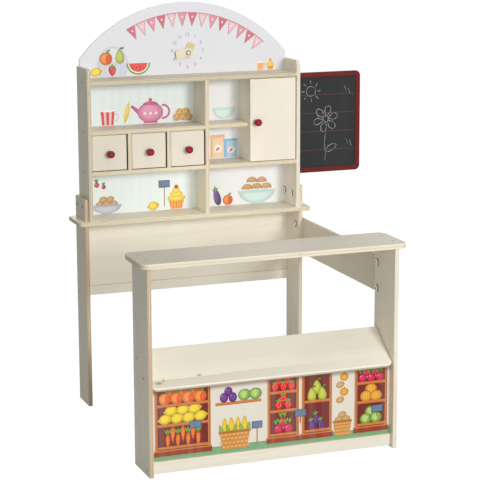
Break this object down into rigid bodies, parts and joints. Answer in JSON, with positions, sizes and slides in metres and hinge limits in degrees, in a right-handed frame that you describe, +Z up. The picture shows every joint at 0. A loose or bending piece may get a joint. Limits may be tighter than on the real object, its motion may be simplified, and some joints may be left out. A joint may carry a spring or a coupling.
{
  "type": "toy market stall",
  "caption": "Wooden toy market stall: rear table with shelf unit, drawers, cupboard, arched sign and clock, a side rail, and a front counter with a slanted display shelf; slate at the side.",
  "frame": {"origin": "on the floor, under the middle of the stall's outline", "axes": "+Z up, -Y towards the customer at the front counter, +X to the customer's right, where the side rail and the slate are"},
  "size_m": [0.818, 0.6884, 1],
  "materials": {
    "birch": "matte clear lacquer on birch plywood",
    "wall_print": "satin printed board",
    "front_print": "satin printed board",
    "knob_paint": "gloss red paint",
    "frame_paint": "satin dark red paint",
    "chalkboard": "matte blackboard paint",
    "steel": "zinc plated"
  },
  "bodies": {
    "stall": {"left_leg": "birch", "right_leg": "birch", "rear_counter": "birch", "apron_panel": "birch", "apron_rail": "birch", "apron_screws": "steel", "connector_bolts": "steel", "connector_inserts": "steel", "left_side_panel": "birch", "right_side_panel": "birch", "top_board": "birch", "centre_divider": "birch", "drawer_top_shelf": "birch", "drawer_bottom_shelf": "birch", "drawer_divider_left": "birch", "drawer_divider_right": "birch", "cubby_divider": "birch", "cubby_shelf": "birch", "cupboard_floor": "birch", "back_wall": "wall_print", "shelf_screws": "steel", "shelf_dowels": "birch", "clock_pivot": "steel", "clock_nut": "steel", "counter_top": "birch", "counter_left_upright": "birch", "counter_right_upright": "birch", "display_shelf": "birch", "front_panel": "front_print", "plinth_board": "birch", "counter_screws": "steel", "side_rail": "birch", "slate_frame": "frame_paint", "slate": "chalkboard", "slate_screws": "steel"},
    "hour_hand": {"hour_hand": "birch"},
    "minute_hand": {"minute_hand": "birch"},
    "cupboard_door": {"cupboard_door": "birch", "door_knob": "knob_paint", "door_knob_screw": "steel", "door_pins": "steel"},
    "drawer_left": {"drawer_left_front": "birch", "drawer_left_sides": "birch", "drawer_left_back": "birch", "drawer_left_bottom": "birch", "drawer_left_knob": "knob_paint", "drawer_left_knob_screw": "steel"},
    "drawer_middle": {"drawer_middle_front": "birch", "drawer_middle_sides": "birch", "drawer_middle_back": "birch", "drawer_middle_bottom": "birch", "drawer_middle_knob": "knob_paint", "drawer_middle_knob_screw": "steel"},
    "drawer_right": {"drawer_right_front": "birch", "drawer_right_sides": "birch", "drawer_right_back": "birch", "drawer_right_bottom": "birch", "drawer_right_knob": "knob_paint", "drawer_right_knob_screw": "steel"}
  },
  "joints": [
    {"name": "drawer_left_slide", "type": "slide", "parent": "stall", "child": "drawer_left", "axis": [0, -1, 0], "range_m": [0, 0.06]},
    {"name": "drawer_middle_slide", "type": "slide", "parent": "stall", "child": "drawer_middle", "axis": [0, -1, 0], "range_m": [0, 0.06]},
    {"name": "drawer_right_slide", "type": "slide", "parent": "stall", "child": "drawer_right", "axis": [0, -1, 0], "range_m": [0, 0.06]},
    {"name": "door_hinge", "type": "hinge", "parent": "stall", "child": "cupboard_door", "pos_m": [0.1824, 0.24675, 0.704], "axis": [0, 0, 1], "range_deg": [0, 110]},
    {"name": "hour_hand_turn", "type": "hinge", "parent": "stall", "child": "hour_hand", "pos_m": [-0.071, 0.32625, 0.873], "axis": [0, 1, 0], "continuous": true},
    {"name": "minute_hand_turn", "type": "hinge", "parent": "stall", "child": "minute_hand", "pos_m": [-0.071, 0.32325, 0.873], "axis": [0, 1, 0], "continuous": true}
  ]
}
